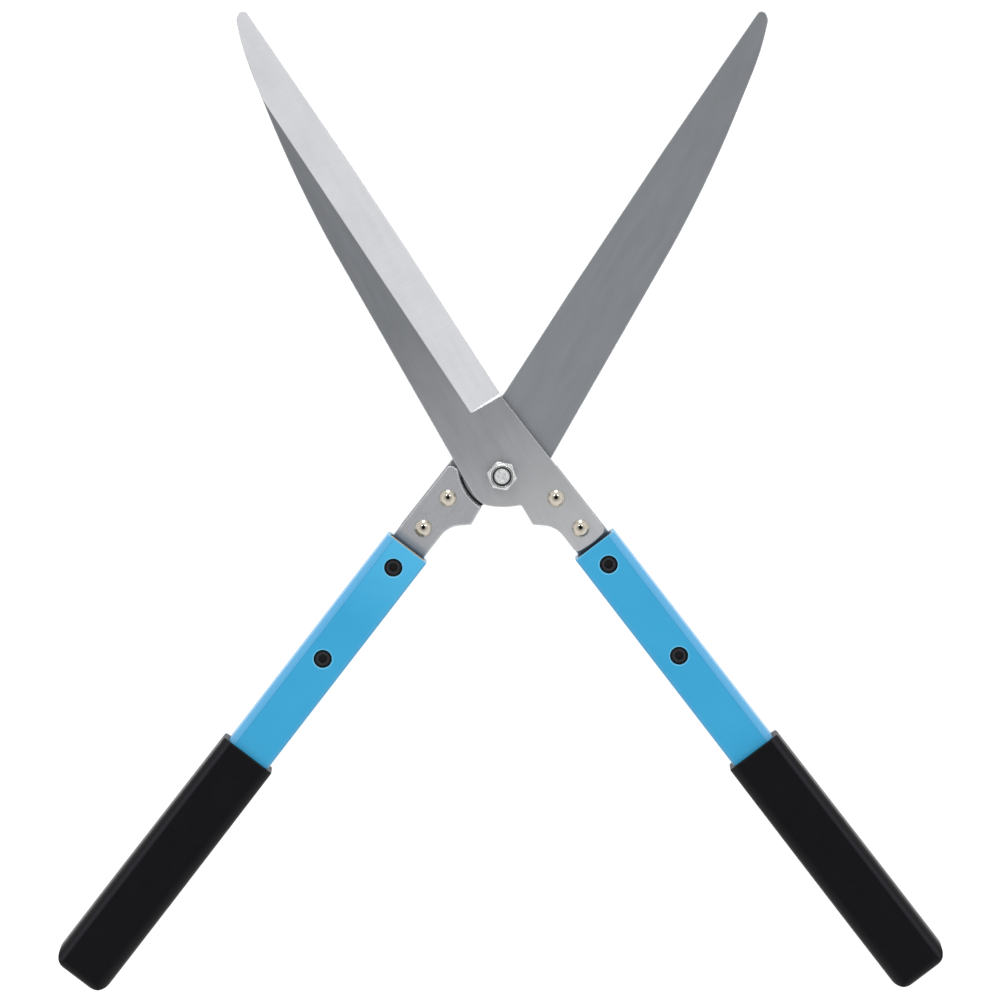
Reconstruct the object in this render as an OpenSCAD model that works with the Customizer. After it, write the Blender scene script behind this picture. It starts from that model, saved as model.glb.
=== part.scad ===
// Hedge shears, shown fully open.
//
// Two equal halves cross on one bolt. Each half is a ground blade whose tang is riveted face to face to a
// tang plate, and that plate runs on inside a rectangular tube handle with a rubber grip. The rear half is
// the front half turned over about the Y axis, so its blade lies behind and its tang plate in front.
//
// Frame: Z is the pivot axis and points to the nut, +Y points to the blade tips, and the origin is the
// centre of the bolt head's flat face. Millimetres and degrees.
//
// Each half is drawn in its own closed frame: the pivot is at the origin, the closed blade points along +Y
// with its cutting edge on the +X side, and z = 0 is the plane where the two halves meet.
// Along a handle, a point is given as a distance down the handle from the pivot and a distance across it.

/* [Opening] */
// Angle between the halves in the open position
open_angle = 61; // [50:1:61]
// Gap on each side of the plane where the blades cross
blade_relief = 0.15; // [0.1:0.05:0.3]

/* [Blades] */
// Thickness of the blades and of the tang plates
steel_t = 3.6; // [3:0.1:4]
// Distance from the pivot to the blade tip
blade_l = 262.3; // [240:0.1:280]
// Distance from the pivot to the back of the blade
hub_r = 17.1; // [16.5:0.1:18]
// Distance from the closed centre line to the heel of the cutting edge
heel_x = 19.3; // [18:0.1:20]
// Height of the heel above the pivot
heel_y = 33.6; // [32:0.1:35]
// Distance from the closed centre line to the cutting edge at the tip
tip_x = 7.2; // [6:0.1:9]
// Bow of the cutting edge, away from a straight line
edge_bow = 1.2; // [0.4:0.1:2]
// Width of the ground bevel, square to the cutting edge
bevel_w = 16.8; // [12:0.1:18]
// Thickness left at the cutting edge
edge_t = 0.7; // [0.6:0.1:1]

/* [Tangs] */
// Width of the tang where it enters the tube
tang_w = 18.6; // [17:0.1:18.8]
// Distance from the closed centre line to the stop edges
stop_x = 0.5; // [0.4:0.1:1]
// Length of a tang plate, measured down the handle from the pivot
tang_l = 137; // [132:1:150]
// Distance of the rivets down the handle
rivet_s = [25.4, 44.5];
// Distance of the rivets across the handle
rivet_u = [13.9, 14.4];
// Diameter of the rivet shanks
rivet_d = 5; // [4:0.5:6]

/* [Handles] */
// Angle between a handle and the closed centre line
handle_splay = 7; // [5:0.5:9]
// Distance from the pivot to the handle's centre line
handle_offset = 14.7; // [14:0.1:15.5]
// Width of the tube
tube_w = 23.6; // [23.2:0.1:25]
// Thickness of the tube
tube_h = 16; // [15:0.1:17]
// Wall of the tube
tube_wall = 1.8; // [1.5:0.1:2]
// Outside corner radius of the tube
tube_r = 2.3; // [2.2:0.1:4]
// Distance from the pivot to the near end of the tube
tube_start = 55.2; // [54.5:0.1:58]
// Distance from the pivot to the far end of the tube
tube_end = 314; // [300:1:316]
// Extra distance of the left handle from the pivot
left_setback = 1.5; // [0:0.1:2]
// Distance of the two screws down the handle
screw_s = [66.8, 123.7];

/* [Grips] */
// Distance from the pivot to the mouth of the grip
grip_start = 183.9; // [150:0.1:220]
// Distance from the pivot to the end of the grip
grip_end = 323.8; // [319:0.1:330]
// Width of the grip at its mouth
grip_w = 29.1; // [28:0.1:30]
// Width of the grip near its end
grip_end_w = 30.1; // [29:0.1:32]
// Thickness of the grip
grip_h = 21; // [20:0.1:22]

/* [Pivot] */
// Turn of the nut about the pivot axis
nut_turn = 49.3; // [0:0.1:60]

/* [Hidden] */
$fn = 96;

// Overshoot of every cutting tool
cut = 1;
// Largest distance between a round outline and its chords
chord_gap = 0.02;
// Share of a side that the rounding of its corner takes where the whole side is bowed
bow_share = 0.95;

// M8 bolt: diameter, width of its head and nut across their flats, height of its head, and its washer
bolt_d = 8;
hex_af = 13;
head_h = 5.3;
washer_t = 1.6;
// Height of the plane where the halves meet
mid_z = head_h + washer_t + steel_t;
// Clearance of the bolt in the blades, on the radius
run_gap = 0.05;

// Nut: its gap above the front blade, the height of its hexagon and its whole height
nut_gap = 0.2;
nut_hex_h = 5.6;
nut_h = 7.8;
nut_collar_r = 6.15;
nut_chamfer = 0.5;
// Locking ring: its radius, the radius that the crimped collar leaves open, and its two ends in the nut
ring_r = 5.3;
ring_open_r = 4.8;
ring_low = 5;
ring_high = 7.3;
// Bolt: length above the nut and the chamfers of its end and its head
bolt_proud = 0.3;
bolt_chamfer = 0.7;
head_chamfer = 0.5;
// Clearance of the washer round the bolt
washer_gap = 0.2;

// Rivet head: radius and height
rivet_head_r = 4.4;
rivet_head_h = 2.5;

// Socket screws: thread radius, head radius and height, socket width and depth, and length under the head
screw_r = 2.5;
screw_head_r = 4.25;
screw_head_h = 5;
screw_chamfer = 0.4;
socket_af = 4;
socket_depth = 2.6;
screw_l = 6;
// Hole in the tube for a screw head
head_hole_r = 4.5;

// Clearance of the spacers to the tube
spacer_gap = 0.1;

// Bends of the blade's back near its middle, its shoulder and its nose: the first is measured from the back
// of the hub and the others from the tip, as distances across and down from the tip, and a radius
back_bend = [2.55, 92.6, 620];
shoulder_bend = [10.8, 19.5, 140];
nose_bend = [5.8, 4.5, 5];
tip_r = 2.5;

// Edges of the tang across the handle, and the corners of its end down the handle
tang_in = handle_offset - tang_w / 2;
tang_out = handle_offset + tang_w / 2;
tang_end = tube_start - 2.4;
// Bowed end of the blade's tang: its height, and the radii of its middle and of its two corners
tang_bow = 1.2;
tang_bow_r = 30;
tang_out_r = 3.5;
tang_in_r = 2.5;
// Rounded waist between the inner edge of a tang and its stop corner
waist_s = 36.4;
waist_r = 13;
stop_end_y = -29;
stop_r = 0.8;
// Slightly bowed bottom of the hub, level when the shears are open: distances of its ends and of its middle
hub_flat = 15;
hub_bow = 16.8;
hub_corner_r = 1.5;
// Hollow that clears the hub of the other half, between the plate's stop edge and its top corner
hollow_c = [0, 5];
hollow_r = 24.15;
hollow_end = -38;
// Where the top of the plate lies on the tang's outer edge, and how far it runs over the end of the hollow
plate_top = 0.508;
plate_lead = 1.2;
// Radii of the plate's inner and outer top corners and of its end
plate_in_r = 1.6;
plate_out_r = 2.5;
plate_end_r = 4;

// Grip: radii of its mouth, of its end seen from the front and from the side, along its sides, and of the
// bend where it reaches its full width
mouth_r = 0.8;
end_r = 8;
end_side_r = 4;
side_r = 5.5;
full_w_r = 300;
// Distance from the end of the grip at which it has its full width
full_w_from_end = 45;

function unit(v) = v / norm(v);

// Point in the closed frame that lies s down the handle and u across it
function handle_point(s, u) = [
    s * sin(handle_splay) + u * cos(handle_splay),
    u * sin(handle_splay) - s * cos(handle_splay)
];

// The same point as the corner of an outline, rounded to r
function handle_corner(s, u, r) = [each handle_point(s, u), r];

// Points of an arc about c from one angle to another
function arc(c, r, from, to) =
    let (steps = ceil(abs(to - from) / min(15, 2 * acos(1 - chord_gap / r))))
    [for (i = [0:steps]) c + r * [cos(from + (to - from) * i / steps), sin(from + (to - from) * i / steps)]];

// Corner v between the points p and q, rounded to r
function corner(p, v, q, r) =
    r == 0 ? [v] :
    let (
        a = unit(p - v),
        b = unit(q - v),
        half = acos(a * b) / 2,
        c = v + unit(a + b) * r / sin(half),
        start = v + a * r / tan(half) - c,
        end = v + b * r / tan(half) - c,
        from = atan2(start.y, start.x),
        turn = (atan2(end.y, end.x) - from + 540) % 360 - 180
    )
    arc(c, r, from, from + turn);

// Outline through the corners [x, y, radius]
function rounded(corners) =
    let (n = len(corners), xy = [for (p = corners) [p.x, p.y]])
    [for (i = [0:n - 1]) each corner(xy[(i + n - 1) % n], xy[i], xy[(i + 1) % n], corners[i].z)];

function rounded_box(w, h, r) = rounded([
    [-w / 2, -h / 2, r],
    [w / 2, -h / 2, r],
    [w / 2, h / 2, r],
    [-w / 2, h / 2, r]
]);

// Largest radius that bows both whole sides of the corner v between p and q
function bow_r(p, v, q) =
    bow_share * min(norm(p - v), norm(q - v)) * tan(acos(unit(p - v) * unit(q - v)) / 2);

// Outer edge of the tang, from the heel at 0 to the tang's end at 1
function tang_edge(t) = (1 - t) * [heel_x, heel_y] + t * handle_point(tang_end, tang_out);

// Cutting edge: its two ends and the corner that bows it
heel = [heel_x, heel_y];
tip = [tip_x, blade_l];
edge_middle = (heel + tip) / 2 + [2 * edge_bow, 0];

// Hub: the end of its bottom at the stop, the corner that bows the bottom, and the ends of its round back
hub_stop = [stop_x, (-hub_flat - stop_x * sin(open_angle / 2)) / cos(open_angle / 2)];
hub_bottom = -hub_bow * [sin(open_angle / 2), cos(open_angle / 2)];
hub_angle = 270 - open_angle / 2 - acos(hub_flat / hub_r);
hub_low = hub_r * [cos(hub_angle), sin(hub_angle)];
hub_back = [-hub_r, 0];

// Everything but the round back of the hub
blade_corners = rounded([
    [each hub_back, 0],
    [back_bend.x - hub_r, blade_l - back_bend.y, back_bend.z],
    [tip_x - shoulder_bend.x, blade_l - shoulder_bend.y, shoulder_bend.z],
    [tip_x - nose_bend.x, blade_l - nose_bend.y, nose_bend.z],
    [each tip, tip_r],
    [each edge_middle, bow_r(tip, edge_middle, heel)],
    [each heel, 0],
    handle_corner(tang_end, tang_out, tang_out_r),
    handle_corner(tang_end + tang_bow, handle_offset, tang_bow_r),
    handle_corner(tang_end, tang_in, tang_in_r),
    handle_corner(waist_s, tang_in, waist_r),
    [stop_x, stop_end_y, stop_r],
    [each hub_stop, hub_corner_r],
    [each hub_bottom, bow_r(hub_stop, hub_bottom, hub_low)],
    [each hub_low, 0]
]);

blade_outline = [
    each arc([0, 0], hub_r, hub_angle, 180),
    for (p = blade_corners)
        if (min(norm(p - hub_back), norm(p - hub_low)) > chord_gap)
            p
];

// Ends of the hollow, at the stop edge and at the plate's top
hollow_stop = -acos((stop_x - hollow_c.x) / hollow_r);
hollow_low = hollow_c + hollow_r * [cos(hollow_stop), sin(hollow_stop)];
hollow_top = hollow_c + hollow_r * [cos(hollow_end), sin(hollow_end)];

// From the top of the hollow to the outer edge, down to the plate's end, and back up to the stop
plate_corners = rounded([
    [each hollow_top, 0],
    [hollow_top.x + plate_lead, tang_edge(plate_top).y, plate_in_r],
    [each tang_edge(plate_top), plate_out_r],
    [each tang_edge(1), 0],
    handle_corner(tang_l, tang_out, plate_end_r),
    handle_corner(tang_l, tang_in, plate_end_r),
    handle_corner(waist_s, tang_in, waist_r),
    [stop_x, stop_end_y, stop_r],
    [each hollow_low, 0]
]);

plate_outline = [
    each arc(hollow_c, hollow_r, hollow_stop, hollow_end),
    for (p = plate_corners)
        if (norm(p - hollow_c) > hollow_r + chord_gap)
            p
];

// ---- frames ----

module front_half() {
    translate([0, 0, mid_z])
        rotate([0, 0, open_angle / 2])
            children();
}

module rear_half() {
    translate([0, 0, mid_z])
        rotate([0, 0, -open_angle / 2])
            rotate([0, 180, 0])
                children();
}

// Frame of a handle: X across it from its centre line, -Y down it from the pivot, z = 0 in the middle of
// the tang plate, and +Z to the side that the screws go in from
module right_handle() {
    front_half()
        rotate([0, 0, handle_splay])
            translate([handle_offset, 0, -steel_t / 2])
                children();
}

module left_handle() {
    rear_half()
        rotate([0, 0, handle_splay])
            translate([handle_offset, -left_setback, -steel_t / 2])
                mirror([0, 0, 1])
                    children();
}

// Prism down the handle between two distances from the pivot
module down_handle(from, to) {
    translate([0, -from, 0])
        rotate([90, 0, 0])
            linear_extrude(to - from)
                children();
}

// ---- steel of one half ----

// Bevel ground on the outer face, ending just above the heel in a step that leans step_lean from upright
module bevel_cutter() {
    edge_lean = atan((heel_x - tip_x) / (blade_l - heel_y));
    step_lean = 15;
    step_up = 0.3;
    intersection() {
        translate([heel_x, heel_y, steel_t])
            rotate([0, 0, edge_lean])
                translate([-bevel_w, -bevel_w, 0])
                    rotate([0, atan((steel_t - edge_t) / bevel_w), 0])
                        cube([2 * bevel_w, 1.2 * blade_l, 3 * steel_t]);
        translate([-blade_l / 2, heel_y + step_up, steel_t])
            rotate([step_lean, 0, 0])
                translate([0, 0, -blade_l / 2])
                    cube([blade_l, 1.2 * blade_l, blade_l]);
    }
}

module rivet_holes() {
    for (i = [0, 1])
        translate(handle_point(rivet_s[i], rivet_u[i]))
            translate([0, 0, -steel_t - cut])
                cylinder(h = 2 * (steel_t + cut), d = rivet_d);
}

// Relief of the inner face wherever it doesn't lie on its own tang plate
module inner_relief() {
    translate([-blade_l, tang_edge(plate_top).y, -cut])
        cube([2 * blade_l, 1.2 * blade_l, cut + blade_relief]);
    translate([hollow_c.x, hollow_c.y, -cut])
        cylinder(h = cut + blade_relief, r = hollow_r);
}

module blade() {
    difference() {
        linear_extrude(steel_t)
            polygon(blade_outline);
        inner_relief();
        bevel_cutter();
        rivet_holes();
        translate([0, 0, -cut])
            cylinder(h = steel_t + 2 * cut, r = bolt_d / 2 + run_gap);
    }
}

module tang_plate(setback) {
    difference() {
        translate([0, 0, -steel_t])
            linear_extrude(steel_t)
                polygon(plate_outline);
        rivet_holes();
        for (s = screw_s)
            translate(handle_point(s + setback, handle_offset))
                translate([0, 0, -steel_t - cut])
                    cylinder(h = steel_t + 2 * cut, r = screw_r);
    }
}

module rivet_head() {
    dome_r = (pow(rivet_head_r, 2) + pow(rivet_head_h, 2)) / (2 * rivet_head_h);
    intersection() {
        translate([0, 0, steel_t + rivet_head_h - dome_r])
            sphere(r = dome_r);
        translate([0, 0, steel_t])
            cylinder(h = rivet_head_h + cut, r = rivet_head_r + cut);
    }
}

module rivet(i) {
    translate(handle_point(rivet_s[i], rivet_u[i])) {
        translate([0, 0, -steel_t])
            cylinder(h = 2 * steel_t, d = rivet_d);
        rivet_head();
        mirror([0, 0, 1])
            rivet_head();
    }
}

// ---- handle of one half ----

module tube() {
    difference() {
        down_handle(tube_start, tube_end)
            polygon(rounded_box(tube_w, tube_h, tube_r));
        down_handle(tube_start - cut, tube_end + cut)
            polygon(rounded_box(tube_w - 2 * tube_wall, tube_h - 2 * tube_wall, tube_r - tube_wall));
        for (s = screw_s)
            translate([0, -s, 0])
                cylinder(h = tube_h, r = head_hole_r);
    }
}

// Blocks that fill the tube in front of the tang plate and behind it, flush with the tube's near end
module spacer(low, hole_r) {
    spacer_w = tube_w - 2 * tube_wall - 2 * spacer_gap;
    spacer_h = tube_h / 2 - tube_wall - spacer_gap - steel_t / 2;
    difference() {
        down_handle(tube_start, tang_l)
            translate([-spacer_w / 2, low ? -steel_t / 2 - spacer_h : steel_t / 2])
                square([spacer_w, spacer_h]);
        for (s = screw_s)
            translate([0, -s, -tube_h / 2])
                cylinder(h = tube_h, r = hole_r);
    }
}

module front_spacer() {
    spacer(false, head_hole_r);
}

module rear_spacer() {
    spacer(true, screw_r);
}

module screw(i) {
    translate([0, -screw_s[i], steel_t / 2]) {
        difference() {
            union() {
                cylinder(h = screw_head_h - screw_chamfer, r = screw_head_r);
                translate([0, 0, screw_head_h - screw_chamfer])
                    cylinder(h = screw_chamfer, r1 = screw_head_r, r2 = screw_head_r - screw_chamfer);
            }
            translate([0, 0, screw_head_h - socket_depth])
                cylinder(h = socket_depth + cut, d = socket_af / cos(30), $fn = 6);
        }
        translate([0, 0, -screw_l])
            cylinder(h = screw_l, r = screw_r);
    }
}

module grip() {
    mouth = -grip_start;
    end = -grip_end;
    difference() {
        intersection() {
            // seen from the front
            translate([0, 0, -grip_h])
                linear_extrude(2 * grip_h)
                    polygon(rounded([
                        [grip_w / 2, mouth, mouth_r],
                        [-grip_w / 2, mouth, mouth_r],
                        [-grip_end_w / 2, end + full_w_from_end, full_w_r],
                        [-grip_end_w / 2, end, end_r],
                        [grip_end_w / 2, end, end_r],
                        [grip_end_w / 2, end + full_w_from_end, full_w_r]
                    ]));
            // seen along the handle
            down_handle(grip_start - cut, grip_end + cut)
                polygon(rounded_box(grip_end_w, grip_h, side_r));
            // seen from the side
            rotate([0, 90, 0])
                translate([0, 0, -grip_end_w])
                    linear_extrude(2 * grip_end_w)
                        polygon(rounded([
                            [-grip_h / 2, mouth, mouth_r],
                            [-grip_h / 2, end, end_side_r],
                            [grip_h / 2, end, end_side_r],
                            [grip_h / 2, mouth, mouth_r]
                        ]));
        }
        down_handle(grip_start - cut, tube_end)
            polygon(rounded_box(tube_w, tube_h, tube_r));
    }
}

// ---- pivot ----

// Hexagon whose top corners are cut by a cone
module hex_block(h, chamfer) {
    intersection() {
        cylinder(h = h, r = hex_af / 2 / cos(30), $fn = 6);
        cylinder(h = h, r1 = hex_af / 2 - chamfer + h, r2 = hex_af / 2 - chamfer);
    }
}

module bolt() {
    bolt_end = mid_z + steel_t + nut_gap + nut_h + bolt_proud;
    translate([0, 0, head_h])
        mirror([0, 0, 1])
            hex_block(head_h, head_chamfer);
    cylinder(h = bolt_end - bolt_chamfer, d = bolt_d);
    translate([0, 0, bolt_end - bolt_chamfer])
        cylinder(h = bolt_chamfer, r1 = bolt_d / 2, r2 = bolt_d / 2 - bolt_chamfer);
}

module washer() {
    translate([0, 0, head_h])
        difference() {
            cylinder(h = washer_t, d = 2 * bolt_d);
            translate([0, 0, -cut])
                cylinder(h = washer_t + 2 * cut, r = bolt_d / 2 + washer_gap);
        }
}

module nut_frame() {
    translate([0, 0, mid_z + steel_t + nut_gap])
        rotate([0, 0, nut_turn])
            children();
}

module nut() {
    nut_frame()
        difference() {
            union() {
                hex_block(nut_hex_h, 0);
                cylinder(h = nut_h - nut_chamfer, r = nut_collar_r);
                translate([0, 0, nut_h - nut_chamfer])
                    cylinder(h = nut_chamfer, r1 = nut_collar_r, r2 = nut_collar_r - nut_chamfer);
            }
            translate([0, 0, -cut])
                cylinder(h = nut_h + 2 * cut, d = bolt_d);
            translate([0, 0, ring_low])
                cylinder(h = ring_high - ring_low, r = ring_r);
            translate([0, 0, ring_low])
                cylinder(h = nut_h, r = ring_open_r);
        }
}

module locking_ring() {
    nut_frame()
        translate([0, 0, ring_low])
            difference() {
                cylinder(h = ring_high - ring_low, r = ring_r);
                translate([0, 0, -cut])
                    cylinder(h = nut_h, d = bolt_d);
            }
}

// ---- named nodes ----

module front_blade() color([0.62, 0.63, 0.64]) front_half() blade();
module right_tang_plate() color([0.66, 0.66, 0.67]) front_half() tang_plate(0);
module right_upper_rivet() color([0.80, 0.78, 0.73]) front_half() rivet(0);
module right_lower_rivet() color([0.80, 0.78, 0.73]) front_half() rivet(1);

module rear_blade() color([0.52, 0.53, 0.54]) rear_half() blade();
module left_tang_plate() color([0.66, 0.66, 0.67]) rear_half() tang_plate(left_setback);
module left_upper_rivet() color([0.80, 0.78, 0.73]) rear_half() rivet(0);
module left_lower_rivet() color([0.80, 0.78, 0.73]) rear_half() rivet(1);

module pivot_bolt() color([0.80, 0.80, 0.80]) bolt();
module pivot_washer() color([0.76, 0.76, 0.76]) washer();
module pivot_nut() color([0.80, 0.80, 0.80]) nut();
module nut_locking_ring() color([0.08, 0.08, 0.08]) locking_ring();

module right_tube() color([0.26, 0.67, 0.84]) right_handle() tube();
module right_front_spacer() color([0.55, 0.55, 0.57]) right_handle() front_spacer();
module right_rear_spacer() color([0.50, 0.50, 0.52]) right_handle() rear_spacer();
module right_upper_screw() color([0.10, 0.10, 0.11]) right_handle() screw(0);
module right_lower_screw() color([0.10, 0.10, 0.11]) right_handle() screw(1);
module right_grip() color([0.11, 0.11, 0.12]) right_handle() grip();

module left_tube() color([0.26, 0.67, 0.84]) left_handle() tube();
module left_front_spacer() color([0.55, 0.55, 0.57]) left_handle() front_spacer();
module left_rear_spacer() color([0.50, 0.50, 0.52]) left_handle() rear_spacer();
module left_upper_screw() color([0.10, 0.10, 0.11]) left_handle() screw(0);
module left_lower_screw() color([0.10, 0.10, 0.11]) left_handle() screw(1);
module left_grip() color([0.11, 0.11, 0.12]) left_handle() grip();

front_blade();
right_tang_plate();
right_upper_rivet();
right_lower_rivet();
rear_blade();
left_tang_plate();
left_upper_rivet();
left_lower_rivet();
pivot_bolt();
pivot_washer();
pivot_nut();
nut_locking_ring();
right_tube();
right_front_spacer();
right_rear_spacer();
right_upper_screw();
right_lower_screw();
right_grip();
left_tube();
left_front_spacer();
left_rear_spacer();
left_upper_screw();
left_lower_screw();
left_grip();
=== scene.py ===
import math

import bpy
from mathutils import Matrix, Vector


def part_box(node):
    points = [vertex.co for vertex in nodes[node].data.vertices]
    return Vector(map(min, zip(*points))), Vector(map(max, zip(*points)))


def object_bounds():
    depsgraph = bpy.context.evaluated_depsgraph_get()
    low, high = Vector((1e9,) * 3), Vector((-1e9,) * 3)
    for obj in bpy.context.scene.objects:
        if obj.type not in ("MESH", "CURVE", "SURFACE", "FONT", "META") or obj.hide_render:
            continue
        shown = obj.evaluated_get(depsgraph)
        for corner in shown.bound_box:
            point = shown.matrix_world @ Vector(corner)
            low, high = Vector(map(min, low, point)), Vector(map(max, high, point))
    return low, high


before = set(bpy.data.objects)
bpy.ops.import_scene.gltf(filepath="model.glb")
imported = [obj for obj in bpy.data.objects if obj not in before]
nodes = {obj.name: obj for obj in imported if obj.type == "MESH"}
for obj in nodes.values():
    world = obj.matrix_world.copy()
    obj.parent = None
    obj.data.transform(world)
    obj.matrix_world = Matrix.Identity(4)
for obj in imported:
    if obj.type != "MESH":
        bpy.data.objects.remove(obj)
cad_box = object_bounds()
scene = bpy.context.scene

MM = 0.001

# ---- measures of the part, beside those that the frame gives ----

# Turn of each half from closed to open, and angle of a handle to its closed blade
half_turn = math.radians(30.5)
splay = math.radians(7)

# Across a handle from the pivot, in mm: the inner side, the middle and the outer side of its tube
INNER = 2.9
MIDDLE = 14.7
OUTER = 26.5

# Down a handle from the pivot, in mm: the mouth of its tube and its two screws
MOUTH = 55.2
SCREWS = (66.8, 123.7)
# How much further down the left ones are
SETBACK = 1.5

# Round a screw, in mm: radius of the rim of its socket, lighter from wear and from a painted highlight, and
# of the painted highlight along its hole
SOCKET_RIM = 2.75
HOLE_RIM = 4.75

# Hollow in the left tang plate round the front blade's hub, in mm: distance of its centre up the closed
# blade, and radius of the painted shadow line along its edge
HOLLOW_UP = 5
SHADE_LINE_REACH = 23.3

# ---- materials ----

# Most of a noise texture's values are between these
NOISE_LOW = 0.3
NOISE_HIGH = 0.7


def srgb(r, g, b):
    """Linear colour of an 8-bit sRGB one."""
    def linear(v):
        v = v / 255
        return v / 12.92 if v <= 0.04045 else ((v + 0.055) / 1.055) ** 2.4
    return (linear(r), linear(g), linear(b), 1)


def grey(level):
    """Linear grey: 0 is black and 1 is white."""
    return (level, level, level, 1)


class Nodes:
    """A material with short calls for the nodes it's built from."""

    def __init__(self, name):
        self.material = bpy.data.materials.new(name)
        self.material.use_nodes = True
        self.tree = self.material.node_tree
        self.shader = self.tree.nodes["Principled BSDF"]

    def set(self, **values):
        """Sets inputs of the shader, with _ for each space in their names."""
        for name, value in values.items():
            self.shader.inputs[name.replace("_", " ")].default_value = value

    def link(self, output, socket):
        self.tree.links.new(output, self.shader.inputs[socket])

    def add(self, kind, inputs=None, **settings):
        """New node, each of whose inputs is linked to a socket or set to a value."""
        node = self.tree.nodes.new(kind)
        for name, value in settings.items():
            setattr(node, name, value)
        for key, value in (inputs or {}).items():
            if isinstance(value, bpy.types.NodeSocket):
                self.tree.links.new(value, node.inputs[key])
            else:
                node.inputs[key].default_value = value
        return node

    def place(self, turn=0.0, stretch=(1, 1, 1)):
        """Object coordinates turned about Z, so that Y runs along a blade or handle, then stretched."""
        source = self.add("ShaderNodeTexCoord").outputs["Object"]
        turned = self.add("ShaderNodeMapping", {"Vector": source, "Rotation": (0, 0, -turn)}).outputs[0]
        return self.add("ShaderNodeMapping", {"Vector": turned, "Scale": stretch}).outputs[0]

    def noise(self, vector, scale, detail=3.0, roughness=0.55):
        return self.add(
            "ShaderNodeTexNoise",
            {"Vector": vector, "Scale": scale, "Detail": detail, "Roughness": roughness},
        ).outputs["Fac"]

    def two_tone(self, noise, a, b):
        """Mottled colour between two colours."""
        return self.ramp(noise, (NOISE_LOW, a), (NOISE_HIGH, b))

    def ramp(self, value, *stops):
        """Colour ramp through (position, colour) stops."""
        node = self.add("ShaderNodeValToRGB", {"Fac": value})
        elements = node.color_ramp.elements
        while len(elements) < len(stops):
            elements.new(0.5)
        for element, (position, colour) in zip(elements, stops):
            element.position = position
            element.color = colour if len(colour) == 4 else (*colour, 1)
        return node.outputs["Color"]

    def grade(self, value, low, high, to_low, to_high):
        """Value mapped from one range to another and clamped."""
        return self.add(
            "ShaderNodeMapRange",
            {"Value": value, "From Min": low, "From Max": high, "To Min": to_low, "To Max": to_high},
        ).outputs["Result"]

    def span(self, noise, to_low, to_high):
        """Noise mapped to a range."""
        return self.grade(noise, NOISE_LOW, NOISE_HIGH, to_low, to_high)

    def blend(self, factor, a, b, mode="MIX"):
        """Colour a where the factor is 0, and colour b over it where it is 1."""
        return self.add(
            "ShaderNodeMix", {0: factor, 6: a, 7: b}, data_type="RGBA", blend_type=mode
        ).outputs[2]

    def math(self, operation, a, b=0.0):
        return self.add("ShaderNodeMath", {0: a, 1: b}, operation=operation).outputs[0]

    def vector_math(self, operation, a, b):
        """Number that a vector operation gives."""
        return self.add("ShaderNodeVectorMath", {0: a, 1: b}, operation=operation).outputs["Value"]

    def split(self, vector, axis):
        return self.add("ShaderNodeSeparateXYZ", {0: vector}).outputs[axis]

    def facing(self, direction):
        """Cosine between the surface's own normal and a direction fixed to the part."""
        normal = self.add("ShaderNodeTexCoord").outputs["Normal"]
        return self.vector_math("DOT_PRODUCT", normal, direction)

    def bump(self, height, distance, strength=0.5, normal=None):
        inputs = {"Height": height, "Distance": distance, "Strength": strength}
        if normal is not None:
            inputs["Normal"] = normal
        return self.add("ShaderNodeBump", inputs).outputs["Normal"]

    def rounded_edge(self, radius):
        """Normal that is rounded off along the edges."""
        return self.add("ShaderNodeBevel", {"Radius": radius}, samples=6).outputs["Normal"]

    def off_flat(self, rounded):
        """Cosine between the rounded normal and the face's own: 1 on a face, and less toward an edge."""
        flat = self.add("ShaderNodeNewGeometry").outputs["True Normal"]
        return self.vector_math("DOT_PRODUCT", rounded, flat)

    def edge_highlight_mask(self, rounded):
        """1 along the outer edges and 0 elsewhere."""
        return self.grade(self.off_flat(rounded), 0.99, 0.88, 0, 1)

    def edge_lines(self, rounded, tone, bright, dark, amount):
        """Paints a highlight line along the rounded edges and a shade line at their very corner."""
        tone = self.blend(self.grade(self.off_flat(rounded), 0.985, 0.93, 0, amount), tone, bright)
        level = self.math("ABSOLUTE", self.split(rounded, "Z"))
        return self.blend(self.grade(level, 0.88, 0.78, 0, amount), tone, dark)


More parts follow.
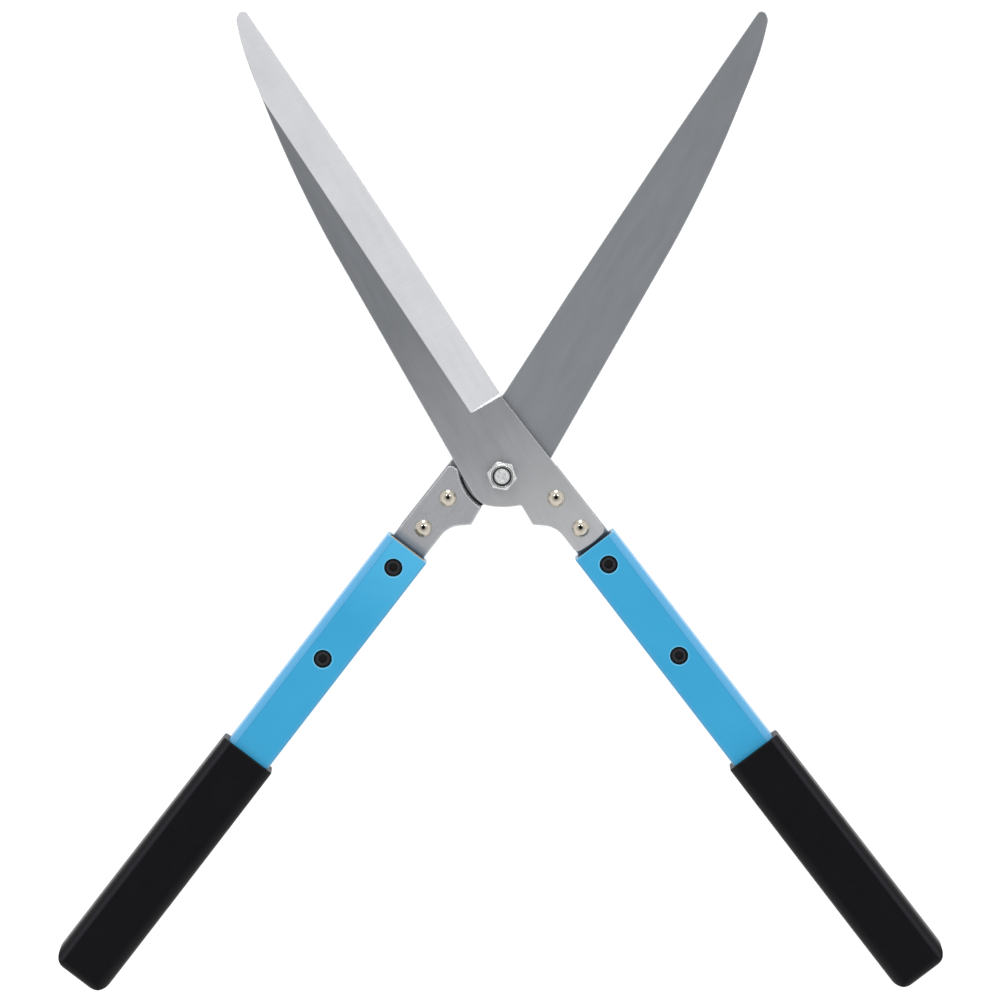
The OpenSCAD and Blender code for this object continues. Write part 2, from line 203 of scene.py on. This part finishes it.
def blade_steel(name, turn, *tones, streak, shade_line=None):
    """Steel brushed lengthwise on its flats and ground across on its bevel, with painted highlight and
    shade lines along its edges.

    The flats are painted darker toward the tip as painted light, so each tone is a distance up the blade
    from the pivot, in mm, and a colour. The last argument, if given, is the centre and the radius of a
    painted line of shadow."""
    m = Nodes(name)
    m.set(Metallic=1.0)
    # the bevel leans out of the flat, so its normal is neither level nor upright
    lean = m.math("ABSOLUTE", m.facing((0, 0, 1)))
    on_bevel = m.math("MULTIPLY", m.grade(lean, 0.993, 0.988, 0, 1), m.grade(lean, 0.9, 0.96, 0, 1))
    brushed = m.noise(m.place(turn, (1900, 90, 100)), 1.0, 5, 0.7)
    soft = m.noise(m.place(turn, (240, 40, 60)), 1.0, 2)
    ground = m.noise(m.place(turn, (130, 2600, 100)), 1.0, 4)
    patch = m.noise(m.place(turn, (60, 30, 30)), 1.0, 3)
    shade = m.math("ADD", m.span(brushed, 0, 0.85), m.span(soft, 0, 0.15))
    # painted light: the flats take each tone up the blade, and the bevel darkens toward the tip
    along = m.split(m.place(turn), "Y")
    low, high = tones[0][0], tones[-1][0]
    along = m.grade(along, low * MM, high * MM, 0, 1)
    painted_light_tint = m.ramp(along, *(((mm - low) / (high - low), colour) for mm, colour in tones))
    grain = m.ramp(shade, (0.0, grey(0.91 - streak)), (1.0, grey(0.91 + streak)))
    flat = m.blend(1.0, painted_light_tint, grain, "MULTIPLY")
    # the ground bevel is near-white: partly its finish and partly painted light
    bevel_shade = m.math("ADD", m.span(ground, 0, 0.6), m.span(patch, 0, 0.4))
    bevel = m.ramp(bevel_shade, (0.0, srgb(235, 236, 240)), (1.0, srgb(246, 247, 250)))
    bevel = m.blend(1.0, bevel, m.ramp(along, (0.25, grey(1)), (1.0, grey(0.85))), "MULTIPLY")
    rounded = m.rounded_edge(0.7 * MM)
    tone = m.blend(on_bevel, flat, bevel)
    # painted highlight along the edges and painted shade at their very corners
    tone = m.edge_lines(rounded, tone, srgb(244, 245, 247), srgb(92, 96, 102), 0.8)
    # the step where the bevel ends at the heel gets a painted highlight: it faces up the blade, and out a
    # little
    level, out = 0.966, 0.259
    step = m.facing((-level * math.sin(turn), level * math.cos(turn), out))
    tone = m.blend(m.grade(step, 0.6, 0.85, 0, 1), tone, srgb(253, 253, 253))
    if shade_line:
        # painted shadow, black along the edge of the tang plate's hollow where it stands on the blade
        centre, radius = shade_line
        reach = m.vector_math("DISTANCE", m.place(), centre)
        off_edge = m.math("ABSOLUTE", m.math("SUBTRACT", reach, radius))
        below_pivot = m.grade(m.split(m.place(), "Y"), 0, -2 * MM, 0, 0.92)
        amount = m.math("MULTIPLY", m.grade(off_edge, 0.35 * MM, 0.75 * MM, 1, 0), below_pivot)
        tone = m.blend(amount, tone, srgb(8, 8, 9))
    m.link(tone, "Base Color")
    m.link(m.grade(soft, 0.2, 0.8, 0.39, 0.43), "Roughness")
    height = m.add("ShaderNodeMix", {0: on_bevel, 2: brushed, 3: ground}, data_type="FLOAT").outputs[0]
    m.link(m.bump(height, 0.008 * MM, 0.3, rounded), "Normal")
    return m.material


def cast_tone(name, colour, roughness, grain=2500, depth=0.02 * MM, edge=0.3 * MM, spread=0.12,
              blotch=60, edge_highlight=None, **settings):
    """Material of one colour, with a fine grain, faint blotches and rounded edges.

    The edges can be given a painted highlight in another colour."""
    m = Nodes(name)
    m.set(**settings)
    place = m.place()
    fine = m.noise(place, grain, 3)
    dark = tuple(c * (1 - spread) for c in colour[:3])
    light = tuple(min(1, c * (1 + spread)) for c in colour[:3])
    tone = m.two_tone(m.noise(place, blotch, 4), dark, light)
    rounded = m.rounded_edge(edge)
    # painted highlight along the edges
    if edge_highlight:
        tone = m.blend(m.math("MULTIPLY", m.edge_highlight_mask(rounded), 0.8), tone, edge_highlight)
    m.link(tone, "Base Color")
    m.link(m.span(m.noise(place, 200, 3), roughness * 0.85, roughness * 1.15), "Roughness")
    m.link(m.bump(fine, depth, 0.4, rounded), "Normal")
    return m.material


def plate_steel(name, turn, mouth):
    """Satin plate with a fine speckle, with painted shadow and a painted reflection of the blue tube
    darkening it toward the tube's mouth.
    """
    m = Nodes(name)
    m.set(Metallic=1.0)
    fine = m.noise(m.place(turn, (1700, 1900, 400)), 1.0, 4, 0.7)
    along = m.noise(m.place(turn, (1500, 60, 200)), 1.0, 3)
    shade = m.math("ADD", m.span(fine, 0, 0.75), m.span(along, 0, 0.25))
    tone = m.ramp(shade, (0.0, srgb(190, 193, 198)), (1.0, srgb(219, 221, 225)))
    rounded = m.rounded_edge(1.2 * MM)
    # painted highlight along the edges and painted shade at their very corners
    tone = m.edge_lines(rounded, tone, srgb(252, 252, 253), srgb(62, 66, 72), 0.92)
    # painted shadow and painted blue reflection of the tube, darker toward the mouth
    down = m.math("SUBTRACT", m.math("MULTIPLY", m.split(m.place(turn), "Y"), -1.0), mouth)
    tone = m.blend(m.grade(down, -5.5 * MM, -2.6 * MM, 0, 0.6), tone, srgb(128, 146, 164))
    tone = m.blend(m.grade(down, -2.2 * MM, -0.7 * MM, 0, 0.85), tone, srgb(60, 84, 106))
    m.link(tone, "Base Color")
    m.link(m.span(along, 0.36, 0.4), "Roughness")
    m.link(m.bump(fine, 0.006 * MM, 0.3, rounded), "Normal")
    return m.material


def from_screw(m, turn, side, setback):
    """Distance from the axis of the nearer screw of a handle."""
    flat_place = m.place(turn, (1, 1, 0))
    axes = [(side * MIDDLE * MM, -(down + setback) * MM, 0) for down in SCREWS]
    return m.math("MINIMUM", *(m.vector_math("DISTANCE", flat_place, axis) for axis in axes))


def handle_paint(name, turn, side, setback, painted_sheen):
    """Gloss paint with painted light: lighter toward the mouth and along the tube's outer corner, with
    painted shade along its sides and painted highlights round its holes and at its mouth.
    """
    m = Nodes(name)
    m.set(Coat_Weight=0.12, Coat_Roughness=0.2)
    place = m.place()
    tone = m.two_tone(m.noise(place, 40, 3), srgb(44, 155, 202), srgb(49, 159, 205))
    # painted light: lighter toward the mouth, by the given amount
    lip = m.math("ADD", m.split(m.place(turn), "Y"), (MOUTH + setback) * MM)
    tone = m.blend(m.grade(lip, -45 * MM, -2 * MM, 0, painted_sheen), tone, srgb(72, 174, 218))
    # painted shade line along the outer corner, a lighter painted strip outside it, and painted shade at
    # the outer edge
    across = m.math("MULTIPLY", m.split(m.place(turn), "X"), side)
    out = m.math("SUBTRACT", OUTER * MM, across)
    crease_shade = m.math(
        "MULTIPLY", m.grade(out, 3.9 * MM, 3.5 * MM, 0, 0.5), m.grade(out, 3.1 * MM, 3.3 * MM, 0, 1)
    )
    tone = m.blend(crease_shade, tone, srgb(36, 138, 184))
    tone = m.blend(m.grade(out, 3.35 * MM, 3.15 * MM, 0, 1), tone, srgb(88, 168, 214))
    tone = m.blend(m.grade(out, 1.6 * MM, 0.3 * MM, 0, 0.6), tone, srgb(52, 140, 184))
    # painted shade along the inner side
    inner = m.math("SUBTRACT", across, INNER * MM)
    tone = m.blend(m.grade(inner, 1.3 * MM, 0.9 * MM, 0, 0.6), tone, srgb(36, 132, 176))
    # painted highlights round the screw holes and at the mouth's lip
    ring = m.math("ABSOLUTE", m.math("SUBTRACT", from_screw(m, turn, side, setback), HOLE_RIM * MM))
    tone = m.blend(m.grade(ring, 0.45 * MM, 0.2 * MM, 0, 1), tone, srgb(92, 184, 222))
    tone = m.blend(m.grade(lip, -0.65 * MM, -0.35 * MM, 0, 1), tone, srgb(84, 176, 216))
    # thin paint on the sawn end
    end = m.facing((-math.sin(turn), math.cos(turn), 0))
    tone = m.blend(m.grade(end, 0.7, 0.95, 0, 0.8), tone, srgb(112, 150, 170))
    m.link(tone, "Base Color")
    m.link(m.span(m.noise(place, 200, 3), 0.34, 0.4), "Roughness")
    m.link(m.bump(m.noise(place, 900, 3), 0.002 * MM, 0.3, m.rounded_edge(0.6 * MM)), "Normal")
    return m.material


def screw_oxide(name, turn, side, setback):
    """Black oxide, lighter on the rim of the socket from wear and from a painted highlight, with painted
    shade black in the seam round the head.
    """
    m = Nodes(name)
    m.set(Metallic=0.3)
    place = m.place()
    reach = from_screw(m, turn, side, setback)
    tone = m.two_tone(m.noise(place, 900, 3), srgb(14, 14, 18), srgb(26, 26, 31))
    # rim of the socket lighter from wear and a painted highlight; painted shade in the seam round the head
    rim = m.math("ABSOLUTE", m.math("SUBTRACT", reach, SOCKET_RIM * MM))
    tone = m.blend(m.grade(rim, 0.4 * MM, 0.15 * MM, 0, 0.6), tone, srgb(66, 66, 74))
    tone = m.blend(m.grade(reach, 3.4 * MM, 3.9 * MM, 0, 0.95), tone, srgb(3, 3, 4))
    m.link(tone, "Base Color")
    m.link(m.span(m.noise(place, 400, 3), 0.25, 0.4), "Roughness")
    m.link(m.bump(m.noise(place, 1500, 3), 0.02 * MM, 0.3, m.rounded_edge(0.4 * MM)), "Normal")
    return m.material


def bolt_metal():
    """Zinc-plated bolt, mottled on its cut end, with painted shade on the chamfer."""
    m = Nodes("bolt_zinc")
    m.set(Metallic=0.55)
    place = m.place()
    mottle = m.noise(m.place(0.6, (1500, 700, 600)), 1.0, 4, 0.65)
    tone = m.ramp(
        mottle, (0.32, srgb(176, 181, 186)), (0.5, srgb(224, 226, 226)), (0.66, srgb(250, 250, 250))
    )
    # painted shade on the chamfer
    level = m.math("ABSOLUTE", m.facing((0, 0, 1)))
    tone = m.blend(m.grade(level, 0.95, 0.8, 0, 0.6), tone, srgb(84, 87, 90))
    m.link(tone, "Base Color")
    m.link(m.span(mottle, 0.3, 0.42), "Roughness")
    m.link(m.bump(m.noise(place, 1300, 3), 0.08 * MM, 0.4, m.rounded_edge(0.3 * MM)), "Normal")
    return m.material


def rivet_metal():
    """Nickel plate with a painted dark reflection of the camera near the middle of the head, a painted dark
    ring near its rim and painted shade on its steep edge.
    """
    m = Nodes("rivet_nickel")
    m.set(Metallic=1.0)
    place = m.place()
    tone = m.two_tone(m.noise(place, 500, 3), srgb(182, 175, 162), srgb(198, 191, 179))
    # painted dark ring near the rim and painted shade on the steep edge
    level = m.math("ABSOLUTE", m.facing((0, 0, 1)))
    ring = m.math("MULTIPLY", m.grade(level, 0.69, 0.73, 0, 0.4), m.grade(level, 0.8, 0.76, 0, 1))
    tone = m.blend(ring, tone, srgb(96, 90, 80))
    tone = m.blend(m.grade(level, 0.6, 0.54, 0, 0.6), tone, srgb(90, 84, 76))
    # painted dark reflection of the camera near the middle of the head
    uneven = m.span(m.noise(place, 900, 2), -0.006, 0.006)
    camera_reflection = m.math("ADD", m.facing((0, 0.17, 0.985)), uneven)
    tone = m.blend(m.grade(camera_reflection, 0.97, 0.986, 0, 0.93), tone, srgb(34, 31, 28))
    m.link(tone, "Base Color")
    m.link(m.span(m.noise(place, 300, 3), 0.13, 0.17), "Roughness")
    m.link(m.bump(m.noise(place, 700, 3), 0.02 * MM, 0.3), "Normal")
    return m.material


def grip_rubber(name, turn, side):
    """Matt black rubber with a soft painted highlight along its outer side."""
    m = Nodes(name)
    m.set(Specular_IOR_Level=0.14)
    place = m.place()
    tone = m.two_tone(m.noise(place, 60, 4), srgb(7, 6, 10), srgb(9, 8, 12))
    # painted highlight along the outer side
    outward = m.math("MULTIPLY", m.facing((math.cos(turn), math.sin(turn), 0)), side)
    painted_sheen = m.math("MULTIPLY", m.grade(outward, 0.1, 0.3, 0, 1), m.grade(outward, 0.62, 0.4, 0, 1))
    tone = m.blend(painted_sheen, tone, srgb(34, 34, 40))
    m.link(tone, "Base Color")
    m.link(m.span(m.noise(place, 200, 3), 0.36, 0.44), "Roughness")
    m.link(m.bump(m.noise(place, 3500, 3), 0.03 * MM, 0.4, m.rounded_edge(0.6 * MM)), "Normal")
    return m.material


hollow = Vector((
    HOLLOW_UP * math.sin(half_turn) * MM, HOLLOW_UP * math.cos(half_turn) * MM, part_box("rear_blade")[1][2]
))
front_steel = blade_steel(
    "front_blade_steel", half_turn,
    (-50, srgb(232, 233, 236)), (-15, srgb(215, 217, 220)), (20, srgb(188, 190, 194)),
    (90, srgb(157, 160, 165)), (260, srgb(153, 156, 161)),
    streak=0.055,
)
rear_steel = blade_steel(
    "rear_blade_steel", -half_turn,
    (0, srgb(178, 181, 186)), (60, srgb(170, 174, 179)), (260, srgb(163, 166, 171)),
    streak=0.035, shade_line=(hollow, SHADE_LINE_REACH * MM),
)
right_turn = half_turn + splay
left_turn = -right_turn
right_plate = plate_steel("right_plate_steel", right_turn, MOUTH * MM)
left_plate = plate_steel("left_plate_steel", left_turn, (MOUTH + SETBACK) * MM)
rivet_nickel = rivet_metal()
# zinc with white painted highlights along its edges
zinc = cast_tone(
    "zinc_plating", srgb(203, 206, 206), 0.24, grain=900, depth=0.03 * MM, edge=0.35 * MM, spread=0.2,
    blotch=500, edge_highlight=srgb(252, 252, 252), Metallic=1.0,
)
bolt_zinc = bolt_metal()
nylon = cast_tone("black_nylon", srgb(14, 14, 15), 0.45)
spacer = cast_tone("spacer_steel", srgb(92, 100, 108), 0.5, Metallic=0.6)
light_spacer = cast_tone("spacer_alloy", srgb(178, 168, 154), 0.5, spread=0.06)
right_oxide = screw_oxide("right_black_oxide", right_turn, 1, 0)
left_oxide = screw_oxide("left_black_oxide", left_turn, -1, SETBACK)
right_paint = handle_paint("right_paint", right_turn, 1, 0, 0.1)
left_paint = handle_paint("left_paint", left_turn, -1, SETBACK, 0.9)
right_rubber = grip_rubber("right_rubber", right_turn, 1)
left_rubber = grip_rubber("left_rubber", left_turn, -1)

# Material of every node whose name ends with the key, where the first key that fits counts
FINISH = {
    "front_blade": front_steel,
    "rear_blade": rear_steel,
    "left_tang_plate": left_plate,
    "right_tang_plate": right_plate,
    "rivet": rivet_nickel,
    "pivot_bolt": bolt_zinc,
    "pivot_washer": zinc,
    "pivot_nut": zinc,
    "nut_locking_ring": nylon,
    "left_front_spacer": light_spacer,
    "spacer": spacer,
    "right_upper_screw": right_oxide,
    "right_lower_screw": right_oxide,
    "left_upper_screw": left_oxide,
    "left_lower_screw": left_oxide,
    "right_tube": right_paint,
    "left_tube": left_paint,
    "right_grip": right_rubber,
    "left_grip": left_rubber,
}


def soften_edges(obj, width):
    """Gives the sharp edges of a CAD node a small round, as real ones have."""
    weld = obj.modifiers.new("weld", "WELD")
    weld.merge_threshold = 0.001 * MM
    flatten = obj.modifiers.new("flatten", "DECIMATE")
    flatten.decimate_type = "DISSOLVE"
    flatten.angle_limit = math.radians(0.5)
    round_over = obj.modifiers.new("round_over", "BEVEL")
    round_over.width = width
    round_over.segments = 2
    round_over.limit_method = "ANGLE"
    round_over.angle_limit = math.radians(32)
    round_over.harden_normals = True


# Width of the rounded edges in mm, for names with these words in them and for the others
EDGE = {"tang_plate": 0.4, "blade": 0.25, "tube": 0.35, "grip": 0.3}
OTHER_EDGE = 0.2

for name, obj in nodes.items():
    finish = next(material for key, material in FINISH.items() if name.endswith(key))
    obj.data.materials.clear()
    obj.data.materials.append(finish)
    # a rivet's dome is round already
    if "rivet" not in name:
        width = next((w for key, w in EDGE.items() if key in name), OTHER_EDGE)
        soften_edges(obj, width * MM)

# ---- floor, light and camera ----

floor_z = cad_box[0][2] - 0.2 * MM
floor_reach = 6
corners = [(x * floor_reach, y * floor_reach, floor_z) for x, y in ((-1, -1), (1, -1), (1, 1), (-1, 1))]
mesh = bpy.data.meshes.new("floor")
mesh.from_pydata(corners, [], [(0, 1, 2, 3)])
floor = bpy.data.objects.new("floor", mesh)
scene.collection.objects.link(floor)
# lit from within as well, so that the part's colours hardly tint it
paper = cast_tone(
    "floor_paper", grey(0.45), 0.9, grain=300, spread=0.005, Emission_Color=grey(1), Emission_Strength=0.8
)
floor.data.materials.append(paper)

# The camera looks down on the shears from far away, a little off square on the side of their tips
tilt = math.radians(7)
backward = Vector((0, math.sin(tilt), math.cos(tilt)))

# White studio with a dark opening round the camera, brighter toward the horizon
world = bpy.data.worlds.new("studio")
scene.world = world
world.use_nodes = True
tree = world.node_tree
direction = tree.nodes.new("ShaderNodeTexCoord")
facing = tree.nodes.new("ShaderNodeVectorMath")
facing.operation = "DOT_PRODUCT"
facing.inputs[1].default_value = backward
sky = tree.nodes.new("ShaderNodeValToRGB")
# Brightness by the cosine of the angle to the camera's direction
SKY = ((0.0, 1.25), (0.55, 1.25), (0.8, 0.85), (0.93, 0.57), (0.968, 0.42), (0.981, 0.02))
while len(sky.color_ramp.elements) < len(SKY):
    sky.color_ramp.elements.new(0.5)
for element, (position, level) in zip(sky.color_ramp.elements, SKY):
    element.position = position
    element.color = grey(level)
background = tree.nodes["Background"]
background.inputs["Strength"].default_value = 1.0
tree.links.new(direction.outputs["Generated"], facing.inputs[0])
tree.links.new(facing.outputs["Value"], sky.inputs["Fac"])
tree.links.new(sky.outputs["Color"], background.inputs["Color"])


def lamp(name, place, size, power):
    """Round lamp that faces the pivot."""
    light = bpy.data.lights.new(name, "AREA")
    light.shape = "DISK"
    light.size = size
    light.energy = power
    obj = bpy.data.objects.new(name, light)
    obj.location = place
    obj.rotation_euler = (-Vector(place)).to_track_quat("-Z", "Y").to_euler()
    scene.collection.objects.link(obj)


lamp("left_lamp", (-0.62, 1.15, 1.7), 0.19, 4.5)
lamp("right_lamp", (0.7, 1.1, 1.7), 0.19, 4.5)
lamp("tip_side_lamp", (0, 2.6, 0.45), 1.2, 16)

roll = math.radians(-0.03)
distance = 4.0
view_width = 490 * MM
sensor = 36
# what the camera is aimed at, on the front blade's top face
centre = Vector((-0.98 * MM, -12.49 * MM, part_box("front_blade")[1][2]))
up = Vector((0, math.cos(tilt), -math.sin(tilt)))
right = up.cross(backward)
right, up = math.cos(roll) * right - math.sin(roll) * up, math.sin(roll) * right + math.cos(roll) * up
camera = bpy.data.objects.new("camera", bpy.data.cameras.new("camera"))
camera.data.sensor_width = sensor
camera.data.lens = sensor * distance / view_width
camera.data.clip_end = 20
attitude = Matrix((right, up, backward)).transposed()
camera.matrix_world = Matrix.Translation(centre + distance * backward) @ attitude.to_4x4()
scene.collection.objects.link(camera)
scene.camera = camera
scene.view_settings.view_transform = "Standard"
